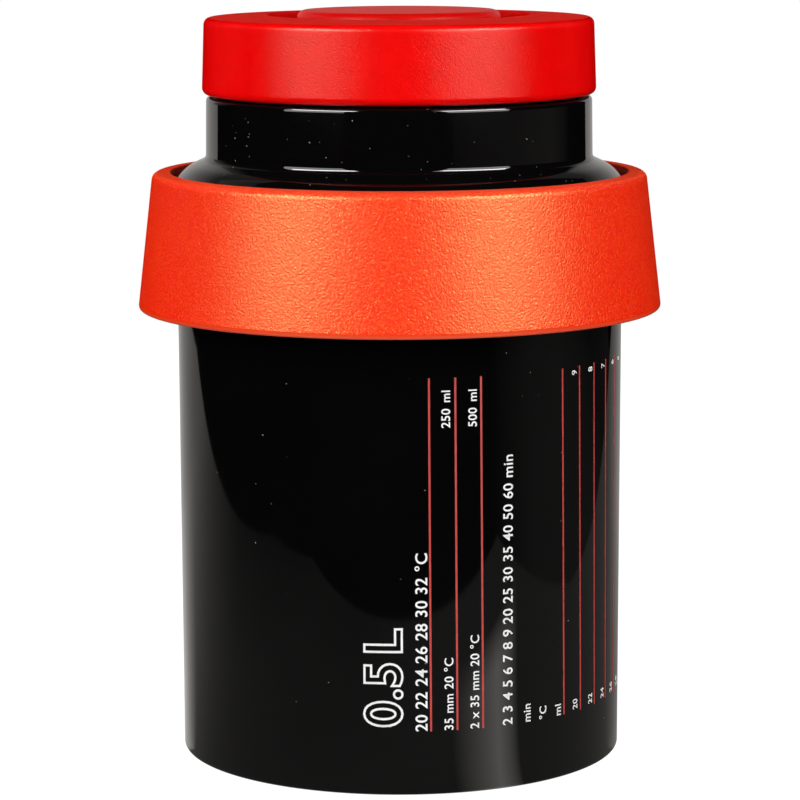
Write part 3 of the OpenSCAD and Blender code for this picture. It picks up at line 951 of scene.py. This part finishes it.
# Bright bars that only show in the gloss
GLOSS_BARS = (
    ("core_left", -48, 33, 0.88, (0.58, 0.12), 32),
    ("core_right", 48, 33, 0.88, (0.58, 0.12), 32),
)
# Fill light that doesn't show in the gloss
FILLS = (
    ("fill_left", -125, 20, 1.1, (0.7, 0.6), 5.5),
    ("fill_right", 125, 20, 1.1, (0.7, 0.6), 2.7),
    ("fill_front", 0, 15, 1.1, (0.8, 0.6), 0.8),
    ("fill_top", 0, 85, 1.1, (0.8, 0.8), 0.9),
)


def seen_white(tree):
    """One for camera, glossy and transmission rays, zero for the rays that light the object."""
    path = tree.nodes.new("ShaderNodeLightPath").outputs
    shiny = math_node(tree, "MAXIMUM", path["Is Glossy Ray"], path["Is Transmission Ray"])
    return math_node(tree, "MAXIMUM", path["Is Camera Ray"], shiny)


def white_world():
    world = bpy.data.worlds.new("studio")
    world.use_nodes = True
    tree = world.node_tree
    strength = add(tree, "MapRange", {"Value": seen_white(tree), "To Min": AMBIENT, "To Max": 1.0})
    tree.links.new(strength.outputs["Result"], tree.nodes["Background"].inputs["Strength"])
    tree.nodes["Background"].inputs["Color"].default_value = (1, 1, 1, 1)
    bpy.context.scene.world = world


def add_panel(bm, corners):
    bm.faces.new([bm.verts.new(Vector(at) * MM) for at in corners])


def bare_material(name):
    """A material with nothing on its output, and its tree."""
    made = bpy.data.materials.new(name)
    made.use_nodes = True
    tree = made.node_tree
    tree.nodes.remove(tree.nodes["Principled BSDF"])
    return made, tree


def show(tree, shader):
    tree.links.new(shader.outputs[0], tree.nodes["Material Output"].inputs["Surface"])


def floor():
    """White sheet that glows for the camera and keeps the object's shadow."""
    made, tree = bare_material("floor_white")
    matt = add(tree, "BsdfDiffuse", {"Color": FLOOR_ALBEDO})
    glow = math_node(tree, "MULTIPLY", seen_white(tree), FLOOR_GLOW)
    light = add(tree, "Emission", {"Strength": glow})
    show(tree, add(tree, "AddShader", {0: matt.outputs[0], 1: light.outputs[0]}))
    piece = new_object("floor", lambda bm: add_panel(bm, [(x, y, 0) for x, y in SHEET_CORNERS]))
    piece.data.materials.append(made)


def only_in_reflections(piece):
    piece.visible_camera = False
    piece.visible_diffuse = False
    piece.visible_transmission = False
    piece.visible_volume_scatter = False
    piece.visible_shadow = False


# The pieces that the lamp on the sheet lights, and those whose gloss shows the cards
LIT_FROM_SHEET = bpy.data.collections.new("lit_from_sheet")
LIT_FROM_SHEET.objects.link(ring)
SHOWS_CARDS = bpy.data.collections.new("shows_cards")
for piece in (body, lid, button):
    SHOWS_CARDS.objects.link(piece)


def glowing_card(name, corners, level):
    """Panel that shows in the gloss only. Its level is a function of its tree and place."""
    made, tree = bare_material(name)
    place = tree.nodes.new("ShaderNodeTexCoord").outputs["Object"]
    at = add(tree, "SeparateXYZ", {"Vector": place}).outputs
    show(tree, add(tree, "Emission", {"Color": CARD_TINT, "Strength": level(tree, at)}))
    card = new_object(name, lambda bm: add_panel(bm, corners))
    card.data.materials.append(made)
    card.light_linking.receiver_collection = SHOWS_CARDS
    only_in_reflections(card)


def upright(foot, low, high):
    """Corners of a panel that stands over a line of two points."""
    first, last = foot
    return [(*first, low), (*last, low), (*last, high), (*first, high)]


def sheet_level(tree, at):
    front = between(tree, at["Y"], *SHEET_FRONT, *SHEET_FRONT_Y)
    behind = between(tree, at["Y"], 0, SHEET_BEHIND, *SHEET_BEHIND_Y)
    far = between(tree, at["Y"], 0, SHEET_FAR, *SHEET_FAR_Y)
    near = between(tree, at["X"], 0, SHEET_NEAR, *SHEET_NEAR_X)
    left = math_node(tree, "ADD", math_node(tree, "ADD", front, behind), math_node(tree, "ADD", far, near))
    more = math_node(tree, "SUBTRACT", left, SHEET_RIGHT)
    more = math_node(tree, "MULTIPLY", more, between(tree, at["X"], 1, 0, *SHEET_SIDE_X))
    return math_node(tree, "ADD", more, SHEET_RIGHT)


def wedge_level(tree, at):
    aside = math_node(tree, "SUBTRACT", math_node(tree, "ABSOLUTE", at["X"], 0), WEDGE_FROM[0])
    aside = math_node(tree, "MAXIMUM", aside, LEAST_RUN)
    back = math_node(tree, "SUBTRACT", at["Y"], WEDGE_FROM[1])
    back = math_node(tree, "MAXIMUM", back, LEAST_RUN)
    wedge = between(tree, math_node(tree, "DIVIDE", aside, back), 1, 0, *WEDGE_SLOPE)
    left = between(tree, at["Y"], *WEDGE_LEFT, *WEDGE_Y)
    left = math_node(tree, "MULTIPLY", left, between(tree, at["X"], 1, 0, *SHEET_SIDE_X))
    right = between(tree, at["Y"], *WEDGE_RIGHT, *WEDGE_Y)
    right = math_node(tree, "MULTIPLY", right, between(tree, at["X"], 0, 1, *SHEET_SIDE_X))
    return math_node(tree, "MULTIPLY", wedge, math_node(tree, "ADD", left, right))


def glare_level(tree, at):
    ahead = math_node(tree, "SUBTRACT", GLARE_FROM[1], at["Y"])
    ahead = math_node(tree, "MAXIMUM", ahead, LEAST_RUN)
    slope = math_node(tree, "DIVIDE", math_node(tree, "SUBTRACT", at["X"], GLARE_FROM[0]), ahead)
    beam = math_node(
        tree, "MINIMUM", between(tree, slope, 0, 1, *GLARE_RISE), between(tree, slope, 1, 0, *GLARE_FALL))
    beam = math_node(tree, "MULTIPLY", beam, between(tree, at["Y"], 1, 0, *GLARE_START_Y))
    return math_node(tree, "MULTIPLY", beam, between(tree, at["Y"], 0, GLARE_LEVEL, *GLARE_END_Y))


def floor_level(tree, at):
    glow = math_node(tree, "ADD", wedge_level(tree, at), glare_level(tree, at))
    return math_node(tree, "ADD", sheet_level(tree, at), glow)


def backdrop_level(tree, at):
    return between(tree, at["Z"], BACKDROP_LEVEL, BACKDROP_TOP_LEVEL, *BACKDROP_FADE_Z)


def upper_wing_level(tree, at):
    return between(tree, at["X"], UPPER_WING_LEVEL, 0, *UPPER_WING_FADE_X)


def table_level(tree, at):
    """Dim behind the object, and fading out towards the camera's side."""
    back = between(tree, at["Y"], TABLE_NEAR, TABLE_FAR, *TABLE_FADE_Y)
    slope = math_node(tree, "DIVIDE", at["Y"], at["X"])
    return math_node(tree, "MULTIPLY", back, between(tree, slope, 0, 1, *TABLE_EDGE_SLOPE))


def stand_level(tree, at):
    rise = between(tree, at["Y"], STAND_DIM, STAND_LEVEL, *STAND_RISE_Y)
    fall = between(tree, at["Y"], STAND_LEVEL, 0, *STAND_FALL_Y)
    return math_node(tree, "MINIMUM", rise, fall)


def reflection_cards():
    """What the gloss shows of the floor and of what stands around the object."""
    glowing_card("floor_card", [(x, y, CARD_LIFT) for x, y in SHEET_CORNERS], floor_level)
    glowing_card("table_card", [(x, y, 0) for x, y in TABLE_CORNERS], table_level)
    glowing_card("backdrop_card", upright(BACKDROP_FOOT, CARD_LIFT, BACKDROP_H), backdrop_level)
    glowing_card("wing_card", upright(WING_FOOT, *WING_Z), backdrop_level)
    glowing_card("upper_wing_card", upright(UPPER_WING_FOOT, *UPPER_WING_Z), upper_wing_level)
    glowing_card("stand_card", upright(STAND_FOOT, CARD_LIFT, STAND_H), stand_level)


def black_globe():
    """Globe around the set that stands for a dark room."""
    made, tree = bare_material("flag_black")
    show(tree, add(tree, "BsdfDiffuse", {"Color": (0, 0, 0, 1)}))
    globe = new_object("flags", lambda bm: bmesh.ops.create_icosphere(bm, subdivisions=3, radius=GLOBE_R))
    globe.data.materials.append(made)
    only_in_reflections(globe)


def panel_lamp(name, size, radiance):
    """Rectangular lamp of a given radiance, hidden from the camera."""
    lamp = bpy.data.lights.new(name, "AREA")
    lamp.shape = "RECTANGLE"
    lamp.size, lamp.size_y = size
    lamp.energy = radiance * math.pi * size[0] * size[1]
    holder = bpy.data.objects.new(name, lamp)
    holder.visible_camera = False
    bpy.context.scene.collection.objects.link(holder)
    return holder


def softbox(name, azimuth, elevation, distance, size, radiance):
    """Lamp aimed at the object. Azimuth 0 is the camera's side, and positive is to its right."""
    turn = math.radians(azimuth)
    rise = math.radians(elevation)
    way = Vector((math.cos(rise) * math.sin(turn), -math.cos(rise) * math.cos(turn), math.sin(rise)))
    holder = panel_lamp(name, size, radiance)
    holder.location = Vector(LAMP_AIM) + distance * way
    holder.rotation_euler = way.to_track_quat("Z", "Y").to_euler()
    return holder


def sheet_bounce():
    """Light that the white sheet in front sends up to the ring's lower rim."""
    holder = panel_lamp("sheet_bounce", BOUNCE_SIZE, BOUNCE_RADIANCE)
    holder.location = BOUNCE_AT
    holder.rotation_euler = (math.pi, 0, 0)
    holder.light_linking.receiver_collection = LIT_FROM_SHEET


def lamps():
    for row in SOFTBOXES:
        softbox(*row)
    for row in GLOSS_BARS:
        softbox(*row).visible_diffuse = False
    for row in FILLS:
        softbox(*row).visible_glossy = False


white_world()
floor()
sheet_bounce()
reflection_cards()
black_globe()
lamps()
bpy.context.scene.view_settings.view_transform = "Standard"
